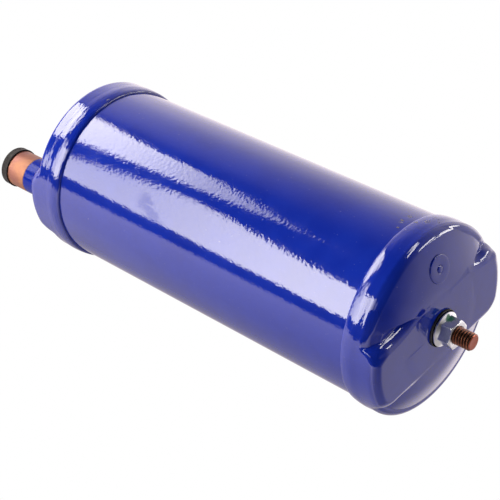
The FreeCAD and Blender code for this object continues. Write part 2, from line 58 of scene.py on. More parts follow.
# Crown towards NEAR_WAY, where the dish runs on past the ledge into a rounder knuckle
NEAR_KNUCKLE, NEAR_REACH = 3.6, 52.0
NEAR_WAY, NEAR_START, NEAR_SPREAD = (-0.6, -0.8), 7.5, 25.0

# Pad bar across the crown, with a tapered far wall and ends
BAR_NEAR, BAR_FAR, BAR_END = 19.6, 21.5, 51.2
BAR_CORNER, BAR_ROUND, BAR_SKIRT_ROUND, BAR_FILLET = 7.0, 3.2, 1.0, 0.6
BAR_TAPER = math.radians(25.0)

# Bar's near side: a round shoulder, whose edge is crisper away from the rim and from the bar's middle
SHOULDER, SHOULDER_LEAN, SHOULDER_BLEND = 8.0, math.radians(25.0), 6.0
CRISP_ROUND, CRISP_START, CRISP_SPREAD = 1.0, 2.0, 10.0
CRISP_RIM, CRISP_FADE = 48.0, 6.0

# Pockets beside the bar: way along X, where both edges lie and how they bow, and the floor's slope
POCKETS = (
    {"way": -1, "bar_edge": -14.4, "bar_bow": -0.0085, "crown_edge": -23.6, "crown_bow": 0.0054,
     "start": 16.5, "slope": 0.42},
    {"way": 1, "bar_edge": -15.1, "bar_bow": -0.020, "crown_edge": -21.8, "crown_bow": 0.018,
     "start": 27.5, "slope": 0.60},
)
BAR_BOW_FROM, CROWN_BOW_FROM = 40.0, 42.0
POCKET_DEPTH, POCKET_FLOOR_ROUND, POCKET_EDGE = 5.0, 1.0, 0.4
RIM_SOFTENING, RIM_START, RIM_SPREAD = 3.2, 45.0, 4.0

# Rays that trace a cap's skin, and where its columns crowd: bearing, extra share and spread in degrees
RAY_HUB, RAY_INSET, RAY_REACH, RAY_HALVINGS = 44.0, 4.0, 24.0, 30
PLAIN_RADIUS = 21.0
INNER_ROWS, BANK_ROWS, BEND_ROWS = 0.06, 0.36, 0.44
CROWDING = ((-150.0, 2.2, 20.0), (-28.0, 1.8, 16.0))
CROWDING_STEPS = 1441
INSIDE_STEP = 6
LIP_GAP, INNER_GAP = 0.01, 0.4

# Weld bead, and its waver round the girth: size, waves and phase
WELD_LEG, WELD_OVERLAP, WELD_CLEARANCE = 1.7, 0.1, 0.01
WELD_WAVER = ((0.10, 11, 0.7), (0.07, 23, 2.1), (0.05, 41, 0.0))

# Stubs, their braze rings and dust caps
STUB_OFFSET, STUB_RADIUS, STUB_BORE = 30.9, 11.1, 7.3
STUB_TOP, STUB_FOOT = 296.2, 246.0
SOCKET_RADIUS, SOCKET_DEPTH, STUB_ROWS = 9.575, 16.0, 30
PAINT_LINE = 277.6
BRAZE_LEG, BRAZE_SPREAD, BRAZE_START = 1.6, 2.0, 0.12
DUST_CAP_SLACK, DUST_CAP_WALL, DUST_CAP_BEAD = 0.05, 0.75, 0.12
DUST_CAP_SKIRT, DUST_CAP_LID = 4.1, 1.2
LID_ROUND, LID_RIM, LID_SUNK = 0.5, 2.4, 0.25

# Stud with its 3/8-16 thread; the flat and the flank are shares of half a pitch
STUD_RADIUS, STUD_TIP, SHANK_RADIUS = 4.7625, -19.7, 4.7
PITCH, THREAD_DEPTH, THREAD_SLACK = 1.5875, 0.92, 0.02
THREAD_FLAT, THREAD_FLANK = 0.12, 0.72
STUD_HEAD_RADIUS, STUD_HEAD_HEIGHT, STUD_EDGE = 9.0, 2.4, 0.8

# Washer and flange nut
WASHER_RADIUS, WASHER_BORE, WASHER_BOTTOM = 10.3, 4.95, -1.5
NUT_BOTTOM, NUT_HALF_FLATS, NUT_BORE = -10.2, 7.145, 4.78
FLANGE_RADIUS, FLANGE_EDGE, FLANGE_CONE = 9.525, 1.1, 1.15

# Fusible plug: the middle of its face on the crown, and its core
PLUG_AT, PLUG_TILT = (3.0, -35.6, 1.66), math.radians(13.8)
PLUG_RADIUS, PLUG_LENGTH, PLUG_PROUD = 7.5, 5.5, 0.35
CORE_BORE, CORE_RADIUS, CORE_TOP = 2.0, 1.97, PLUG_PROUD + 0.42


# Mesh helpers

def link(obj):
    bpy.context.scene.collection.objects.link(obj)
    return obj


def grid_object(name, grid):
    """A mesh from rows of points, each row closed into a ring."""
    rows, columns = grid.shape[:2]
    row = np.arange(rows - 1)[:, None] * columns
    here = np.arange(columns)[None, :]
    there = (here + 1) % columns
    quads = np.stack([row + here, row + there, row + columns + there, row + columns + here], -1)
    mesh = bpy.data.meshes.new(name)
    mesh.from_pydata((grid.reshape(-1, 3) * MM).tolist(), [], quads.reshape(-1, 4).tolist())
    mesh.validate()
    mesh.shade_smooth()
    return link(bpy.data.objects.new(name, mesh))


def full_turn(steps):
    return np.linspace(0, 2 * math.pi, steps, endpoint=False)


def polar(radius, height, turn, at=(0.0, 0.0)):
    """Rows of points round an upright axis."""
    x = radius * np.cos(turn) + at[0]
    y = radius * np.sin(turn) + at[1]
    return np.stack(np.broadcast_arrays(x, y, height), -1)


def rings(profile, steps, at=(0.0, 0.0)):
    """A ring of points for each (radius, height) of a profile."""
    radius, height = np.array(profile, float).T[:, :, None]
    return polar(radius, height, full_turn(steps), at)


def turned(name, profile, steps, at=(0.0, 0.0)):
    """A solid of revolution of a profile of (radius, height) points."""
    return grid_object(name, rings(profile, steps, at))


def arc(centre, radius, start, end, steps):
    """Points of an arc in the radius and height plane, in degrees."""
    turn = np.radians(np.linspace(start, end, steps))
    return [(centre[0] + radius * math.cos(t), centre[1] + radius * math.sin(t)) for t in turn]


def smooth(share):
    """A smooth step from 0 to 1."""
    t = np.clip(share, 0, 1)
    return t * t * (3 - 2 * t)


def finish_piece(obj, material, slot, *nodes):
    """Gives a piece its material and body, and hides the nodes that it stands for. The slot is not used."""
    obj.data.materials.append(material)
    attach(obj, "root")
    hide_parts(*nodes)


# Node helpers

FULL_SHINE = 0.5


class Graph:
    """A node tree, with short calls for the nodes that it uses."""

    def __init__(self, tree):
        self.tree = tree
        self.coordinates = self.add("ShaderNodeTexCoord").outputs
        self.place = self.coordinates["Object"]

    def add(self, kind, **props):
        node = self.tree.nodes.new(kind)
        for key, value in props.items():
            setattr(node, key, value)
        return node

    def wire(self, source, socket):
        self.tree.links.new(source, socket)

    def fill(self, socket, value):
        """A link, a colour or a number, whichever the value is."""
        if isinstance(value, bpy.types.NodeSocket):
            self.wire(value, socket)
        else:
            socket.default_value = (*value, 1.0) if isinstance(value, tuple) else value

    def stretched(self, *scale):
        node = self.add("ShaderNodeMapping")
        self.wire(self.place, node.inputs["Vector"])
        node.inputs["Scale"].default_value = scale
        return node.outputs["Vector"]

    def noise(self, scale, detail=2.0, rough=0.5, vector=None, distortion=0.0):
        node = self.add("ShaderNodeTexNoise")
        self.wire(vector or self.place, node.inputs["Vector"])
        for key, value in (("Scale", scale), ("Detail", detail), ("Roughness", rough),
                           ("Distortion", distortion)):
            node.inputs[key].default_value = value
        return node.outputs["Fac"]

    def math(self, operation, a, b):
        node = self.add("ShaderNodeMath", operation=operation)
        self.fill(node.inputs[0], a)
        self.fill(node.inputs[1], b)
        return node.outputs[0]

    def times(self, a, b):
        return self.math("MULTIPLY", a, b)

    def plus(self, a, b):
        return self.math("ADD", a, b)

    def between(self, value, low, high, out_low=0.0, out_high=1.0):
        """A clamped smooth step from low to high."""
        node = self.add("ShaderNodeMapRange", interpolation_type="SMOOTHSTEP")
        for socket, item in zip(node.inputs, (value, low, high, out_low, out_high)):
            self.fill(socket, item)
        return node.outputs["Result"]

    def eased(self, share, a, b):
        """From a to b while a share goes from 0 to 1."""
        return self.between(share, 0.0, 1.0, a, b)

    def mix(self, factor, a, b):
        """Between two colours; the sixth and seventh inputs are the colour ones."""
        node = self.add("ShaderNodeMix", data_type="RGBA")
        for socket, value in zip((node.inputs["Factor"], node.inputs[6], node.inputs[7]), (factor, a, b)):
            self.fill(socket, value)
        return node.outputs[2]

    def choose(self, flag, on, off):
        """One of two levels; the second and third inputs are the plain ones."""
        node = self.add("ShaderNodeMix")
        for socket, value in zip((node.inputs[0], node.inputs[2], node.inputs[3]), (flag, off, on)):
            self.fill(socket, value)
        return node.outputs[0]

    def split(self, vector=None):
        node = self.add("ShaderNodeSeparateXYZ")
        self.wire(vector or self.place, node.inputs[0])
        return node.outputs

    def nearness(self, point, reach, full):
        """1 within a share of the reach round a point, and 0 past the reach."""
        node = self.add("ShaderNodeVectorMath", operation="DISTANCE")
        self.wire(self.place, node.inputs[0])
        node.inputs[1].default_value = [c * MM for c in point]
        return self.between(node.outputs["Value"], reach * MM, reach * MM * full)

    def bump(self, height, distance, normal=None):
        node = self.add("ShaderNodeBump")
        node.inputs["Strength"].default_value = 1.0
        node.inputs["Distance"].default_value = distance
        self.wire(height, node.inputs["Height"])
        if normal is not None:
            self.wire(normal, node.inputs["Normal"])
        return node.outputs["Normal"]

    def ramp(self, value, stops):
        """A level that runs straight from stop to stop, the first and last of which end the range."""
        low, high = stops[0][0], stops[-1][0]
        top = max(level for _, level in stops)
        node = self.add("ShaderNodeFloatCurve")
        share = self.math("DIVIDE", self.math("SUBTRACT", value, low), high - low)
        self.wire(share, node.inputs["Value"])
        curve = node.mapping.curves[0]
        places = [((at - low) / (high - low), level / top) for at, level in stops]
        for at, level in places[1:-1]:
            curve.points.new(at, level)
        curve.points[0].location = places[0]
        curve.points[-1].location = places[-1]
        for point in curve.points:
            point.handle_type = "VECTOR"
        node.mapping.update()
        return self.times(node.outputs[0], top)


class Surface(Graph):
    """A material with one Principled shader."""

    def __init__(self, name):
        self.material = bpy.data.materials.new(name)
        self.material.use_nodes = True
        super().__init__(self.material.node_tree)
        self.sockets = self.tree.nodes["Principled BSDF"].inputs

    def finish(self, color, roughness, normal, metallic=0.0, shine=FULL_SHINE):
        self.fill(self.sockets["Base Color"], color)
        self.fill(self.sockets["Roughness"], roughness)
        self.fill(self.sockets["Metallic"], metallic)
        self.fill(self.sockets["Specular IOR Level"], shine)
        self.wire(normal, self.sockets["Normal"])
        return self.material


# Materials. Noise scales are per metre, and bump heights are in metres.

BLUE = (0.0075, 0.026, 0.33)
DEEP_BLUE = (0.006, 0.021, 0.29)
BARE_STEEL = (0.16, 0.135, 0.12)
PALE_DUST = (0.30, 0.30, 0.42)
PINK_COPPER, LIGHT_COPPER = (0.23, 0.066, 0.045), (0.38, 0.155, 0.07)
STAINED_COPPER, BURNT_EDGE = (0.28, 0.11, 0.07), (0.05, 0.02, 0.02)
DULL_ZINC, BRIGHT_ZINC, MARKER_GREEN = (0.60, 0.63, 0.66), (0.78, 0.80, 0.80), (0.03, 0.20, 0.10)
DARK_FLASH, COPPER_FLASH = (0.10, 0.032, 0.016), (0.36, 0.12, 0.055)
# The near-black of the thread roots is painted shade.
THREAD_ROOT_SHADE, STUD_END = (0.025, 0.009, 0.006), (0.32, 0.075, 0.036)
SMEARED_SHINE, STUB_PAINT_SHINE = 0.33, 0.06
CAP_SQUASH, CALM_SHARE, DUST_SHARE = 4.0, 0.2, 0.25
CHIP_DEPTH, CHIP_ROUGHNESS = 0.00012, 0.55

# Scuffs, a smear in the gloss and a dab of marking paint: each patch's middle and its reach
SHELL_SCUFFS = (((8.5, -50.1, 28.3), 3.0), ((15.5, -48.4, 27.9), 3.2), ((2.7, -50.7, 26.2), 1.6))
BOTTOM_SCUFFS = (((15.0, -50.5, 17.0), 3.2), ((21.5, -48.1, 16.8), 3.4), ((18.8, -49.2, 12.2), 2.0),
                 ((10.5, -51.6, 20.6), 2.6), ((2.8, -52.4, 21.0), 1.4))
TOP_SCUFFS = (((1.4, -52.6, 233.4), 2.4), ((-5.8, -52.3, 233.4), 1.8))
SHELL_SMEAR = ((-40.0, -31.0, 161.0), 17.0)
GREEN_DAB = ((1.5, -8.0, -4.6), 4.2)

# Share of a patch's reach within which it is at its strongest
SCUFF_CORE, SMEAR_CORE, DAB_CORE = 0.25, 0.3, 0.286


def blotches(g, scale):
    """Soft patches from 0 to 1."""
    return g.between(g.noise(scale, detail=4.0, rough=0.6), 0.3, 0.7)


def fine_grain(g, scale):
    return g.noise(scale, detail=3.0, rough=0.6)


def orange_peel(g, grain, swell, swell_share, squash):
    """Paint ripple, with slower waves of the metal under it, drawn out round the girth by squash."""
    ripple = g.noise(grain, detail=1.0)
    waves = g.noise(swell, vector=g.stretched(1, 1, squash))
    return g.plus(ripple, g.times(waves, swell_share))


def scuffed(g, color, rough, normal, centre, reach):
    """The paint's colour, roughness and normal with flecks of bare steel round a place."""
    near = g.nearness(centre, reach, SCUFF_CORE)
    flecks = g.noise(640.0, detail=4.0, rough=0.75, distortion=0.6)
    bare = g.between(g.plus(flecks, g.times(near, 0.16)), 0.65, 0.70)
    bare = g.times(bare, near)
    rough = g.math("MAXIMUM", rough, g.times(bare, CHIP_ROUGHNESS))
    return g.mix(bare, color, BARE_STEEL), rough, g.bump(bare, CHIP_DEPTH, normal)


def paint(name, grain, swell, swell_share, depth, scuffs=(), calm=None, smear=None):
    """Gloss enamel; a pressed cap's ripple is drawn out, and fades to the first of two heights."""
    g = Surface(name)
    tone = g.between(g.noise(35.0, detail=3.0, rough=0.6), 0.35, 0.65)
    peel = orange_peel(g, grain, swell, swell_share, CAP_SQUASH if calm else 1.0)
    if calm:
        faded = g.between(g.split()[2], calm[0] * MM, calm[1] * MM, CALM_SHARE, 1.0)
        peel = g.times(peel, faded)
    dust = g.between(g.noise(900.0, detail=1.0, rough=0.4), 0.77, 0.80)
    color = g.mix(g.times(dust, DUST_SHARE), g.mix(tone, DEEP_BLUE, BLUE), PALE_DUST)
    rough = g.between(g.noise(120.0), 0.3, 0.7, 0.05, 0.08)
    normal = g.bump(peel, depth)
    for centre, reach in scuffs:
        color, rough, normal = scuffed(g, color, rough, normal, centre, reach)
    shine = FULL_SHINE
    if smear:
        long_clouds = g.noise(110.0, detail=3.0, rough=0.6, vector=g.stretched(1, 1, 0.5), distortion=0.4)
        cloud = g.times(g.between(long_clouds, 0.42, 0.60), g.nearness(*smear, SMEAR_CORE))
        shine = g.eased(cloud, FULL_SHINE, SMEARED_SHINE)
    return g.finish(color, rough, normal, shine=shine)


def copper_and_paint():
    """Mottled drawn copper, with the vessel's paint up to a wavy line and a dark seam along it."""
    g = Surface("stub_copper")
    line = g.plus(g.split()[2], g.times(g.noise(160.0), 0.0012))
    painted = g.between(line, (PAINT_LINE + 0.7) * MM, (PAINT_LINE + 0.5) * MM)
    seam = g.between(line, (PAINT_LINE + 1.5) * MM, (PAINT_LINE + 0.9) * MM)
    blotch = g.between(g.noise(70.0, detail=5.0, rough=0.65, distortion=0.8), 0.35, 0.68)
    stain = g.between(g.noise(240.0, detail=4.0, rough=0.7, vector=g.stretched(1, 1, 0.35)), 0.56, 0.72)
    color = g.mix(blotch, PINK_COPPER, LIGHT_COPPER)
    color = g.mix(g.times(stain, 0.55), color, STAINED_COPPER)
    color = g.mix(g.times(seam, 0.85), color, BURNT_EDGE)
    metal = g.eased(painted, 0.35, 0.0)
    rough = g.eased(painted, g.eased(blotch, 0.45, 0.6), 0.12)
    shine = g.eased(painted, FULL_SHINE, STUB_PAINT_SHINE)
    scratches = g.noise(1.0, detail=3.0, rough=0.6, vector=g.stretched(900.0, 900.0, 140.0))
    relief = g.plus(g.times(scratches, 0.3), g.times(painted, 4.0))
    return g.finish(g.mix(painted, color, DEEP_BLUE), rough, g.bump(relief, 0.00004), metal, shine)


def plain(name, color, dark, rough, metallic, scale=90.0, grain=0.00002, shine=FULL_SHINE):
    """A blotched surface with fine grain, for the small pieces and the inner parts."""
    g = Surface(name)
    blotch = blotches(g, scale)
    roughness = g.eased(blotch, rough * 0.8, rough * 1.2)
    normal = g.bump(fine_grain(g, scale * 12), grain)
    return g.finish(g.mix(blotch, dark, color), roughness, normal, metallic, shine)


def zinc_plate():
    """Bright zinc with a dab of green marking paint on the upper facet and the flange."""
    g = Surface("zinc_plate")
    near = g.nearness(*GREEN_DAB, DAB_CORE)
    ragged = g.plus(fine_grain(g, 500.0), g.times(near, 0.5))
    dab = g.times(g.between(ragged, 0.70, 0.86), near)
    color = g.mix(dab, g.mix(blotches(g, 260.0), DULL_ZINC, BRIGHT_ZINC), MARKER_GREEN)
    normal = g.bump(fine_grain(g, 1400.0), 0.00001)
    return g.finish(color, 0.3, normal, metallic=g.math("SUBTRACT", 1.0, dab))


def threaded_copper_flash():
    """Copper-flashed screw, with painted shade darkening its thread roots, and redder on its end."""
    g = Surface("stud_copper_flash")
    x, y, z = g.split()
    radius = g.math("SQRT", g.plus(g.times(x, x), g.times(y, y)), 0.0)
    # Painted shade: below the crests, the thread's roots take a near-black colour.
    root = g.between(radius, 4.7 * MM, 3.9 * MM)
    end = g.between(z, (STUD_TIP + 0.4) * MM, (STUD_TIP + 0.2) * MM)
    color = g.mix(root, g.mix(blotches(g, 420.0), DARK_FLASH, COPPER_FLASH), THREAD_ROOT_SHADE)
    normal = g.bump(fine_grain(g, 3000.0), 0.00002)
    return g.finish(g.mix(end, color, STUD_END), 0.4, normal, metallic=0.6)


shell_paint = paint("shell_paint", grain=570.0, swell=90.0, swell_share=0.4, depth=0.000045,
                    scuffs=SHELL_SCUFFS, smear=SHELL_SMEAR)
bottom_paint = paint("bottom_paint", grain=560.0, swell=110.0, swell_share=2.2, depth=0.000052,
                     scuffs=BOTTOM_SCUFFS, calm=(9.5, 14.5))
top_paint = paint("top_paint", grain=560.0, swell=110.0, swell_share=3.6, depth=0.000052,
                  scuffs=TOP_SCUFFS, calm=(248.5, 243.5))
smooth_paint = paint("smooth_paint", grain=500.0, swell=120.0, swell_share=1.0, depth=0.000015)
copper = copper_and_paint()
black_cap = plain("black_cap", (0.012, 0.009, 0.008), (0.007, 0.005, 0.005), 0.62, 0.0, 200.0, shine=0.22)
rubber = plain("washer_rubber", (0.012, 0.012, 0.012), (0.007, 0.007, 0.007), 0.55, 0.0, 300.0)
stud_metal = threaded_copper_flash()
zinc = zinc_plate()
inner_steel = plain("inner_steel", (0.55, 0.56, 0.57), (0.40, 0.40, 0.41), 0.35, 1.0)
inner_copper = plain("inner_copper", (0.78, 0.42, 0.30), (0.60, 0.28, 0.19), 0.32, 1.0)
collar_brass = plain("collar_brass", (0.80, 0.62, 0.30), (0.62, 0.46, 0.21), 0.28, 1.0)
screen_wire = plain("screen_wire", (0.50, 0.50, 0.50), (0.25, 0.25, 0.26), 0.40, 1.0, 800.0, 0.0001)
braze_metal = plain("braze_metal", (0.72, 0.60, 0.42), (0.50, 0.38, 0.26), 0.34, 1.0)


# Shell

def make_shell():
    low, high = BOTTOM_DEPTH - BELL_LENGTH, VESSEL_HEIGHT - TOP_DEPTH + BELL_LENGTH
    bore = SHELL_RADIUS - SHELL_WALL
    profile = [(SHELL_RADIUS, z) for z in np.linspace(low, high, SHELL_ROWS)]
    profile += [(bore, high), (bore, low), (SHELL_RADIUS, low)]
    tube = turned("shell_tube", profile, SHELL_STEPS)
    finish_piece(tube, shell_paint, "paint", "shell")


# Pressed caps, from forms that are negative inside and have their corners rounded

def round_meet(a, b, radius):
    """Where two forms meet on an outside corner, rounded."""
    corner = np.hypot(np.maximum(a + radius, 0), np.maximum(b + radius, 0))
    return np.minimum(-radius, np.maximum(a, b)) + corner


def round_join(a, b, radius):
    """Where two forms join in an inside corner, filled by this radius."""
    corner = np.hypot(np.maximum(radius - a, 0), np.maximum(radius - b, 0))
    return np.maximum(radius, np.minimum(a, b)) - corner


def crown_height(r, near):
    run = LEDGE_RADIUS - CROWN_FLAT
    dish = (run * run + LEDGE_DEPTH * LEDGE_DEPTH) / (2 * LEDGE_DEPTH)
    reach = np.clip(r - CROWN_FLAT, 0, run + (NEAR_REACH - LEDGE_RADIUS) * near)
    return dish - np.sqrt(dish * dish - reach * reach)


def skirt_radius(z, depth):
    swell = smooth((z - (depth - BELL_LENGTH)) / JOGGLE_SPREAD + 0.5)
    curl = np.clip((z - (depth - BARREL_LENGTH)) / BARREL_LENGTH, 0, 1)
    return BODY_RADIUS + (BELL_RADIUS - BODY_RADIUS) * swell - BARREL_DROP * curl * curl


def bowed(u, edge, bow, start):
    """Where an edge lies along Y, which bows away from its level inside of its start."""
    return edge + bow * np.clip(start - u, 0, start) ** 2


def pocket_form(u, y, z, pocket):
    """The hollow of a pocket, which never passes the bar's middle."""
    crown_edge = bowed(u, pocket["crown_edge"], pocket["crown_bow"], CROWN_BOW_FROM)
    floor = np.minimum(pocket["slope"] * (u - pocket["start"]), POCKET_DEPTH)
    return np.maximum(round_meet(crown_edge - y, z - floor, POCKET_FLOOR_ROUND), y)


def shoulder_form(u, y, z, pocket):
    """The bar's near side along a pocket, as a round shoulder that leans."""
    bar_edge = np.maximum(bowed(u, pocket["bar_edge"], pocket["bar_bow"], BAR_BOW_FROM), -BAR_NEAR)
    across = np.minimum(y - bar_edge - SHOULDER * math.sin(SHOULDER_LEAN), 0)
    up = np.minimum(z - SHOULDER * math.cos(SHOULDER_LEAN), 0)
    inward = SHOULDER * smooth((y - bar_edge) / SHOULDER_BLEND)
    return np.hypot(across, up) - SHOULDER - inward


def bar_form(r, y, z, side):
    """The pad bar, with tapered far wall and ends, and the given near side."""
    lean, rise = math.cos(BAR_TAPER), math.sin(BAR_TAPER)
    far = (y - BAR_FAR) * lean - z * rise
    end = (r - BAR_END) * lean - z * rise
    far_half = round_meet(round_meet(far, end, BAR_CORNER), -z, BAR_ROUND)
    away = np.clip((-y - CRISP_START) / CRISP_SPREAD, 0, 1)
    crisp = smooth(away * np.clip((CRISP_RIM - r) / CRISP_FADE, 0, 1))
    near_round = BAR_ROUND + (CRISP_ROUND - BAR_ROUND) * crisp
    near_half = round_meet(round_meet(side, end, BAR_CORNER), -z, near_round)
    return np.where(y > 0, far_half, near_half)


def cap_form(x, y, z, depth):
    """The whole cap, drawn as the bottom one."""
    r = np.hypot(x, y)
    skirt = r - skirt_radius(z, depth)
    near = smooth((NEAR_WAY[0] * x + NEAR_WAY[1] * y - NEAR_START) / NEAR_SPREAD)
    form = round_meet(crown_height(r, near) - z, skirt, KNUCKLE + (NEAR_KNUCKLE - KNUCKLE) * near)
    edge_round = POCKET_EDGE + RIM_SOFTENING * smooth((r - RIM_START) / RIM_SPREAD)
    side = 0
    for pocket in POCKETS:
        u = x * pocket["way"]
        form = round_meet(form, -pocket_form(u, y, z, pocket), edge_round)
        side = np.where(u > 0, shoulder_form(u, y, z, pocket), side)
    bar = round_meet(bar_form(r, y, z, side), skirt, BAR_SKIRT_ROUND)
    joined = np.maximum(round_join(form, bar, BAR_FILLET), skirt)
    return np.maximum(joined, z - depth)


def crowded_turn(columns):
    """Bearings round a cap, denser where the pockets lie."""
    turn = np.linspace(-math.pi, math.pi, CROWDING_STEPS)
    density = 1.0
    for bearing, share, spread in CROWDING:
        density = density + share * np.exp(-((np.degrees(turn) - bearing) / spread) ** 2)
    total = np.concatenate([[0], np.cumsum((density[1:] + density[:-1]) / 2)])
    return np.interp(np.linspace(0, total[-1], columns + 1)[:-1], total, turn)


def cap_skin(depth, rows, columns):
    """Points of a cap's outside, where rays from within it leave its form.

    They run down to the pad, in a fan round the knuckle and out to the skirt.
    """
    middle = depth - RAY_INSET
    inner, bank, bend = (int(rows * share) for share in (INNER_ROWS, BANK_ROWS, BEND_ROWS))
    feet = [*np.linspace(0.01, PLAIN_RADIUS, inner, endpoint=False),
            *np.linspace(PLAIN_RADIUS, RAY_HUB, bank, endpoint=False)]
    fan = np.linspace(0, math.pi / 2, bend, endpoint=False)
    sides = np.linspace(middle, depth - LIP_GAP, rows - inner - bank - bend)
    rays = [(r, middle, 0, -1) for r in feet]
    rays += [(RAY_HUB, middle, math.sin(t), -math.cos(t)) for t in fan]
    rays += [(RAY_HUB, z, 1, 0) for z in sides]
    r0, z0, dr, dz = np.array(rays).T[:, :, None]
    turn = crowded_turn(columns)
    near, far = np.zeros((rows, columns)), np.full((rows, columns), RAY_REACH)
    for _ in range(RAY_HALVINGS):
        half = (near + far) / 2
        r = r0 + dr * half
        inside = cap_form(r * np.cos(turn), r * np.sin(turn), z0 + dz * half, depth) < 0
        near, far = np.where(inside, half, near), np.where(inside, far, half)
    return polar(r0 + dr * far, z0 + dz * far, turn)


def make_cap(name, material, node, depth, rows, columns, flipped=False):
    """A pressing of one wall, with fewer rows inside than outside; a flipped one is the top cap."""
    outside = cap_skin(depth, rows, columns)
    r = np.hypot(outside[..., 0], outside[..., 1])
    shrink = np.minimum(r, BODY_RADIUS - CAP_WALL - INNER_GAP) / r
    inside = outside.copy()
    inside[..., :2] *= shrink[..., None]
    inside[..., 2] = np.minimum(outside[..., 2] + CAP_WALL, depth - LIP_GAP)
    skin = np.concatenate([outside, inside[::-1][::INSIDE_STEP]])
    if flipped:
        skin[..., 1] *= -1
        skin[..., 2] = VESSEL_HEIGHT - skin[..., 2]
    finish_piece(grid_object(name, skin), material, "paint", node)


def make_caps():
    make_cap("bottom_cap_pressing", bottom_paint, "bottom_cap", BOTTOM_DEPTH, rows=170, columns=480)
    make_cap("top_cap_pressing", top_paint, "top_cap", TOP_DEPTH, rows=130, columns=400, flipped=True)


# Weld beads, a little uneven round the girth

def make_weld(name, node, lip, way):
    """A bead from a cap's lip in to the shell; way is where it runs along Z."""
    steps, rows = 480, 12
    turn = full_turn(steps)
    slant = np.linspace(0, math.pi / 2, rows)[:, None]
    leg = WELD_LEG + sum(size * np.sin(turn * waves + phase) for size, waves, phase in WELD_WAVER)
    start = BELL_RADIUS - BARREL_DROP - 2 * WELD_CLEARANCE
    drop = start - SHELL_RADIUS - WELD_CLEARANCE
    radius = start - drop * (1 - np.cos(slant))
    height = lip - way * WELD_OVERLAP + way * (leg + WELD_OVERLAP) * np.sin(slant)
    bead = grid_object(name, polar(radius, height, turn))
    finish_piece(bead, smooth_paint, "paint", node)


# Stubs, their braze rings and dust caps

def make_stub(side, at):
    """The tube, with its socket, from inside the vessel up to its rounded mouth."""
    edge, mouth = 0.4, STUB_TOP
    wide_bore, wide_length, step = STUB_BORE + 0.7, 3.0, mouth - SOCKET_DEPTH
    profile = [(wide_bore, STUB_FOOT), (STUB_RADIUS, STUB_FOOT)]
    profile += [(STUB_RADIUS, z) for z in np.linspace(STUB_FOOT + 4, mouth - 0.5, STUB_ROWS)]
    profile += arc((STUB_RADIUS - edge, mouth - edge), edge, 0, 90, 6)
    profile += [(SOCKET_RADIUS + edge, mouth), (SOCKET_RADIUS, mouth - edge)]
    profile += [(SOCKET_RADIUS, step), (STUB_BORE, step), (STUB_BORE, STUB_FOOT + wide_length)]
    profile += [(wide_bore, STUB_FOOT + wide_length), (wide_bore, STUB_FOOT)]
    tube = turned(f"{side}_stub_tube", profile, SMALL_STEPS, at)
    finish_piece(tube, copper, "copper", f"{side}_stub")


def make_braze(side, at):
    """A hollow fillet from the pad up to the stub."""
    sunk, pad = 0.2, VESSEL_HEIGHT
    inner, low = STUB_RADIUS - sunk, pad - 2 * sunk
    profile = [(inner, low), (STUB_RADIUS + BRAZE_SPREAD, pad - sunk)]
    profile += [(STUB_RADIUS + BRAZE_LEG * (1 - math.sin(t)), pad + BRAZE_LEG * (1 - math.cos(t)))
                for t in np.linspace(BRAZE_START, math.pi / 2, 9)]
    profile += [(inner, pad + BRAZE_LEG), (inner, low)]
    ring = turned(f"{side}_braze_ring", profile, SMALL_STEPS, at)
    finish_piece(ring, smooth_paint, "paint", f"{side}_braze")


def make_dust_cap(side, at):
    """A push-on cap that rests on the stub's mouth, with a low bead at its skirt's edge."""
    inner = STUB_RADIUS + DUST_CAP_SLACK
    outer = inner + DUST_CAP_WALL
    skirt = outer - DUST_CAP_BEAD
    seat = STUB_TOP + DUST_CAP_SLACK
    low, high = seat - DUST_CAP_SKIRT, seat + DUST_CAP_LID
    edge, bead_top, panel = 0.3, low + 0.9, high - LID_SUNK
    profile = [(NEAR_AXIS, seat), (inner, seat), (inner, low + edge), (inner + 0.2, low)]
    profile += arc((outer - edge, low + edge), edge, -90, 0, 5)
    profile += [(outer, bead_top), (skirt, bead_top + 0.2), (skirt, high - 2 * LID_ROUND)]
    profile += arc((skirt - LID_ROUND, high - LID_ROUND), LID_ROUND, 0, 90, 7)
    profile += [(outer - LID_RIM, high), (outer - LID_RIM - 0.4, panel), (NEAR_AXIS, panel)]
    moulding = turned(f"{side}_cap_moulding", profile, SMALL_STEPS, at)
    finish_piece(moulding, black_cap, "dust_plastic", f"{side}_dust_cap")


# Stud with its thread, nut and washer

def make_stud():
    """A threaded end below the pad, a plain shank through it and the welded head inside."""
    steps, rows = 96, 330
    turn = full_turn(steps)
    z = np.linspace(STUD_TIP, CAP_WALL, rows)[:, None]
    across = np.abs((z / PITCH - turn / (2 * math.pi)) % 1.0 - 0.5) * 2
    crest = np.clip((across - THREAD_FLAT) / THREAD_FLANK, 0, 1)
    thread = STUD_RADIUS - THREAD_SLACK - THREAD_DEPTH * (1 - crest)
    chamfer = STUD_RADIUS - STUD_EDGE + (z - STUD_TIP)
    radius = np.where(z > WASHER_BOTTOM, SHANK_RADIUS, np.minimum(thread, chamfer))
    dished_end = [(NEAR_AXIS, STUD_TIP + 0.12), (2.6, STUD_TIP + 0.05), (3.5, STUD_TIP)]
    head_top = CAP_WALL + STUD_HEAD_HEIGHT
    head = [(STUD_HEAD_RADIUS, CAP_WALL), (STUD_HEAD_RADIUS, head_top - STUD_EDGE),
            (STUD_HEAD_RADIUS - STUD_EDGE, head_top), (NEAR_AXIS, head_top)]
    points = np.concatenate([rings(dished_end, steps), polar(radius, z, turn), rings(head, steps)])
    finish_piece(grid_object("mounting_screw", points), stud_metal, "stud_steel", "mounting_stud")


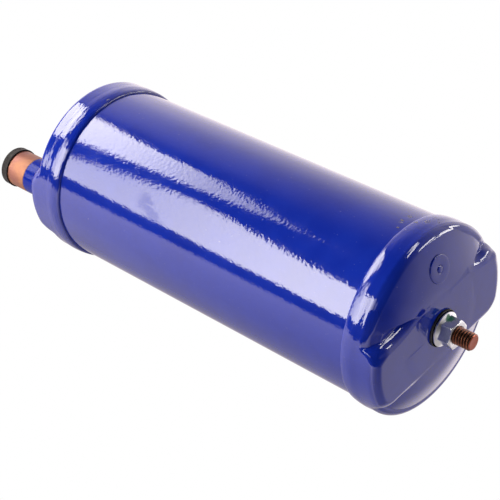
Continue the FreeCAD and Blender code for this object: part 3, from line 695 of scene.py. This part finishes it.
def make_nut():
    """A hexagon with a bevelled end, on a coned flange."""
    steps, rows = 360, 90
    turn = full_turn(steps)
    low, high = NUT_BOTTOM, WASHER_BOTTOM
    corner = NUT_HALF_FLATS / math.cos(math.pi / 6)
    flats = NUT_HALF_FLATS / np.cos(np.abs((turn % (math.pi / 3)) - math.pi / 6))
    z = np.linspace(low, high, rows)[:, None]
    inset, rise, length = 0.1, 0.15, 0.7
    bevel = NUT_HALF_FLATS - inset + (z - low) * (corner - NUT_HALF_FLATS + rise) / length
    worn_corner = corner - 0.12
    barrel = np.minimum(np.minimum(flats, worn_corner), bevel)
    cone = FLANGE_RADIUS - (high - FLANGE_EDGE - z) * (FLANGE_RADIUS - NUT_HALF_FLATS) / FLANGE_CONE
    seat_edge, seat_slope = 0.35, 0.6
    cone = np.minimum(cone, FLANGE_RADIUS) - np.clip(seat_edge - (high - z), 0, seat_edge) * seat_slope
    mouth, countersink, face = 5.3, 0.55, 6.2
    front = [(NUT_BORE, low + countersink), (mouth, low), (face, low)]
    back = [(mouth, high), (NUT_BORE, high - countersink), (NUT_BORE, low + countersink)]
    points = [rings(front, steps), polar(np.maximum(barrel, cone), z, turn), rings(back, steps)]
    nut = grid_object("hex_flange_nut", np.concatenate(points))
    edges = nut.modifiers.new("edges", "EDGE_SPLIT")
    edges.split_angle = math.radians(38)
    finish_piece(nut, zinc, "zinc", "flange_nut")


def make_washer():
    edge = 0.3
    profile = [(WASHER_BORE, 0.0), (WASHER_BORE, WASHER_BOTTOM), (WASHER_RADIUS - edge, WASHER_BOTTOM)]
    profile += arc((WASHER_RADIUS - edge, WASHER_BOTTOM + edge), edge, -90, 0, 5)
    profile += arc((WASHER_RADIUS - edge, -edge), edge, 0, 90, 5)
    profile += [(WASHER_BORE, 0.0)]
    ring = turned("rubber_washer", profile, SMALL_STEPS)
    finish_piece(ring, rubber, "washer_rubber", "sealing_washer")


# Fusible plug and its low-melting core, turned upright and then leant to the crown's normal

def make_plug():
    proud, root, edge = PLUG_PROUD, PLUG_PROUD - PLUG_LENGTH, 0.45
    slug = [(CORE_BORE, root), (PLUG_RADIUS, root), (PLUG_RADIUS, proud - edge)]
    slug += arc((PLUG_RADIUS - edge, proud - edge), edge, 0, 90, 6)
    slug += [(5.0, proud + 0.02), (3.2, proud), (2.4, proud - 0.05), (CORE_BORE, proud - 0.1)]
    slug += [(CORE_BORE, root)]
    core = [(NEAR_AXIS, root), (CORE_RADIUS, root), (CORE_RADIUS, proud - 0.1), (1.9, proud + 0.02)]
    core += [(1.6, proud + 0.22), (1.0, proud + 0.36), (0.3, CORE_TOP), (NEAR_AXIS, CORE_TOP)]
    round_axis = Matrix.Rotation(math.atan2(PLUG_AT[0], -PLUG_AT[1]), 4, "Z")
    outward = Matrix.Rotation(math.pi - PLUG_TILT, 4, "X")
    seated = Matrix.Translation(Vector(PLUG_AT) * MM) @ round_axis @ outward
    for name, profile, node in (("plug_slug", slug, "fusible_plug"), ("plug_core", core, "fusible_alloy")):
        piece = turned(name, profile, 96)
        piece.data.transform(seated)
        finish_piece(piece, smooth_paint, "paint", node)


# The solids of the inner parts are carried over as they are, and get their materials here

CARRIED = {"outlet_tube": inner_copper, "baffle_plate": inner_steel, "tube_bracket": inner_steel,
           "strainer_collar": collar_brass, "oil_strainer": screen_wire, "stud_braze": braze_metal}


def dress_carried():
    for node, material in CARRIED.items():
        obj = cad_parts[node]
        obj.data.materials.clear()
        obj.data.materials.append(material)


# Camera, at the photograph's angle: it looks up at the bottom cap from the inlet's side

CAMERA_AT = Vector((-0.40264, -0.48175, -0.31665))
FORWARD = Vector((0.51662, 0.63315, 0.57639)).normalized()
UPWARD = Vector((0.53515, -0.76427, 0.35988)).normalized()
LENS, SENSOR_WIDTH = 100.0, 36.0
CLIP_START, CLIP_END = 0.01, 50.0


def looking_back(place, back, upward):
    """A placing whose +Z points back, so that a camera or lamp there looks the other way."""
    right = upward.cross(back).normalized()
    axes = Matrix((right, back.cross(right), back)).transposed().to_4x4()
    return Matrix.Translation(place) @ axes


def make_camera():
    camera = link(bpy.data.objects.new("camera", bpy.data.cameras.new("camera")))
    camera.matrix_world = looking_back(CAMERA_AT, -FORWARD, UPWARD)
    camera.data.lens = LENS
    camera.data.sensor_width = SENSOR_WIDTH
    camera.data.clip_start = CLIP_START
    camera.data.clip_end = CLIP_END
    bpy.context.scene.camera = camera


# Stage, in metres: a plain pale floor well below the hanging vessel, and soft studio light

FLOOR_HEIGHT, FLOOR_HALF = -0.75, 4.0
FLOOR_TONE, FLOOR_GLOW = (0.64, 0.64, 0.64), 0.6
TARGET = Vector((0.0, 0.0, 0.13))
LAMP_RANGE, LAMP_SIZE = 1.4, 1.0
SOFTBOX_RANGE, SOFTBOX_COLOR = 12.0, (1.0, 0.955, 0.90)
SECOND_BOUNCE_LOSS = 0.85
FILL_LEVEL = 0.36
GLOSS_TINT = (1.0, 0.895, 0.91)

# Lamps: name, azimuth and elevation in degrees, seen from the target, and power
LAMPS = (("left_key", -147.0, 37.7, 17.0), ("high_key", -99.0, 56.0, 13.0))

# What gloss sees at each azimuth, and its share at each elevation
GLOSS_ROUND = ((-180, 0), (-172, 0.1), (-150, 0), (-85, 0), (-71, 0.12), (-60, 0.25), (-45, 0.55),
               (-30, 0.95), (-15, 1.35), (0, 1.5), (15, 1.6), (30, 1.45), (45, 1.1), (53, 1.08),
               (62, 0.75), (75, 0.55), (90, 0.6), (105, 0.7), (120, 0.85), (135, 1.05), (150, 1.45),
               (165, 1.95), (175.5, 2.5), (178.5, 0), (180, 0))
GLOSS_UP = ((-80, 0.2), (-60, 0.75), (-40, 1.0), (-14, 1.0), (-5, 1.6), (4, 1.6), (16, 1.0))

# What the upper part of the room adds, in the same way
GLOW_ROUND = ((-180, 0), (-75, 0), (-62, 0.8), (-50, 1.0), (-30, 0.8), (-10, 0.6), (10, 0.1), (60, 0),
              (100, 0.1), (130, 0.6), (175.5, 0.6), (178.5, 0), (180, 0))
GLOW_UP = ((28, 0), (33, 0.1), (36.5, 0.35), (40.7, 0.7), (43, 1.0))

# Softboxes: the azimuth and elevation of each one's corners, and its strength at each elevation
SOFTBOXES = {
    "left_softbox": (((-145, -28), (-138, -30), (-132, -18), (-134, 10), (-133, 31), (-127, 34.5),
                      (-119, 37.7), (-128, 40.7), (-137, 43), (-148, 46.5), (-166, 50), (-167, 43),
                      (-168.5, 37), (-169, 30), (-166, 24), (-150, 20), (-145, 4)),
                     ((-30, 2.0), (-10, 4.2), (10, 8.5), (20, 12.6), (31, 15.4), (34.5, 13.6),
                      (37.7, 11.2), (40.7, 9.2), (43, 8.8))),
    "high_softbox": (((-99.5, 33.5), (-84, 37.7), (-83, 41), (-76, 43), (-66, 47), (-75, 60),
                      (-112, 60), (-125, 47), (-115, 43), (-112.5, 42), (-110, 40.7), (-108.5, 39.3),
                      (-105, 37.7)),
                     ((33.5, 4.0), (36, 6.0), (37.7, 7.5), (39.3, 9.3), (40.7, 12.5), (43, 15.0))),
    "right_softbox": (((-46, -46), (-27, -31), (-21, -36), (-38, -52)), ((0, 14.0),)),
    "far_softbox": (((-19, -30), (-13, -37), (-3, -27), (-1, -20), (-9, -19)), ((0, 14.0),)),
    "low_softbox": (((-75, -33), (-75, -26), (-60, -16), (-54, -18), (-62, -28)), ((0, 13.0),)),
    "corner_softbox": (((-2, -25), (-8, -35), (-15, -46), (-19, -48), (-18, -43), (-11, -30), (-5, -22)),
                       ((0, 13.0),)),
}


def direction(azimuth, elevation):
    a, e = math.radians(azimuth), math.radians(elevation)
    return Vector((math.cos(e) * math.cos(a), math.cos(e) * math.sin(a), math.sin(e)))


def by_height(stops):
    """Stops over the sine of an elevation, from ones in degrees; the ends carry on level."""
    places = [(math.sin(math.radians(at)), level) for at, level in stops]
    return [(-1, places[0][1]), *places, (1, places[-1][1])]


def softbox_glow(name, stops):
    """A glow that changes with the elevation it is seen at, and is weak in second reflections."""
    material = bpy.data.materials.new(name)
    material.use_nodes = True
    material.node_tree.nodes.clear()
    g = Graph(material.node_tree)
    bearing = g.add("ShaderNodeVectorMath", operation="NORMALIZE")
    g.wire(g.place, bearing.inputs[0])
    level = g.ramp(g.split(bearing.outputs[0])[2], by_height(stops))
    bounced = g.math("GREATER_THAN", g.add("ShaderNodeLightPath").outputs["Ray Depth"], 1.5)
    kept = g.math("SUBTRACT", 1.0, g.times(bounced, SECOND_BOUNCE_LOSS))
    lamp = g.add("ShaderNodeEmission")
    g.fill(lamp.inputs["Color"], SOFTBOX_COLOR)
    g.fill(lamp.inputs["Strength"], g.times(level, kept))
    g.wire(lamp.outputs[0], g.add("ShaderNodeOutputMaterial").inputs["Surface"])
    return material


def softbox(name, outline, stops):
    """A far glowing panel that only shows as a reflection."""
    corners = [direction(*corner) for corner in outline]
    middle = sum(corners, Vector()).normalized()
    places = [way * (SOFTBOX_RANGE / way.dot(middle)) for way in corners]
    mesh = bpy.data.meshes.new(name)
    mesh.from_pydata(places, [], [list(range(len(places)))])
    mesh.materials.append(softbox_glow(name, stops))
    panel = link(bpy.data.objects.new(name, mesh))
    panel.location = TARGET
    for flag in ("visible_camera", "visible_diffuse", "visible_shadow", "visible_transmission"):
        setattr(panel, flag, False)


def area_light(name, azimuth, elevation, power):
    """A soft lamp that looks back at the target, and that gloss and the camera don't see."""
    data = bpy.data.lights.new(name, "AREA")
    data.shape = "DISK"
    data.size = LAMP_SIZE
    data.energy = power
    lamp = link(bpy.data.objects.new(name, data))
    way = direction(azimuth, elevation)
    lamp.matrix_world = looking_back(TARGET + way * LAMP_RANGE, way, Vector((0, 0, 1)))
    lamp.visible_glossy = False
    lamp.visible_camera = False


def make_world():
    """White to the camera; what gloss sees is a pale table and a dark ceiling."""
    world = bpy.data.worlds.new("studio")
    bpy.context.scene.world = world
    world.use_nodes = True
    world.node_tree.nodes.clear()
    g = Graph(world.node_tree)
    x, y, z = g.split(g.coordinates["Generated"])
    azimuth = g.times(g.math("ARCTAN2", y, x), 180 / math.pi)

    def room(round_stops, up_stops):
        return g.times(g.ramp(azimuth, round_stops), g.ramp(z, by_height(up_stops)))

    shine = g.plus(room(GLOSS_ROUND, GLOSS_UP), room(GLOW_ROUND, GLOW_UP))
    ray = g.add("ShaderNodeLightPath").outputs
    level = g.choose(ray["Is Glossy Ray"], shine, FILL_LEVEL)
    level = g.choose(ray["Is Transmission Ray"], 1.0, level)
    level = g.choose(ray["Is Camera Ray"], 1.0, level)
    background = g.add("ShaderNodeBackground")
    g.fill(background.inputs["Color"], g.mix(ray["Is Glossy Ray"], (1.0, 1.0, 1.0), GLOSS_TINT))
    g.fill(background.inputs["Strength"], level)
    g.wire(background.outputs[0], g.add("ShaderNodeOutputWorld").inputs["Surface"])


def make_floor():
    """Pale paper, with a little glow of its own for the camera only."""
    signs = ((-1, -1), (1, -1), (1, 1), (-1, 1))
    mesh = bpy.data.meshes.new("floor")
    mesh.from_pydata([(x * FLOOR_HALF, y * FLOOR_HALF, FLOOR_HEIGHT) for x, y in signs], [], [(0, 1, 2, 3)])
    floor = link(bpy.data.objects.new("floor", mesh))
    g = Surface("floor_paper")
    g.fill(g.sockets["Base Color"], FLOOR_TONE)
    g.fill(g.sockets["Roughness"], 0.9)
    seen = g.add("ShaderNodeLightPath").outputs["Is Camera Ray"]
    g.fill(g.sockets["Emission Strength"], g.times(seen, FLOOR_GLOW))
    mesh.materials.append(g.material)
    floor.visible_glossy = False


make_shell()
make_caps()
make_weld("bottom_weld_bead", "bottom_weld", BOTTOM_DEPTH, 1)
make_weld("top_weld_bead", "top_weld", VESSEL_HEIGHT - TOP_DEPTH, -1)
for side, offset in (("inlet", -STUB_OFFSET), ("outlet", STUB_OFFSET)):
    make_stub(side, (offset, 0.0))
    make_braze(side, (offset, 0.0))
    make_dust_cap(side, (offset, 0.0))
make_stud()
make_nut()
make_washer()
make_plug()
dress_carried()

make_camera()
make_world()
make_floor()
for name, (outline, stops) in SOFTBOXES.items():
    softbox(name, outline, stops)
for lamp in LAMPS:
    area_light(*lamp)
bpy.context.scene.view_settings.view_transform = "Standard"
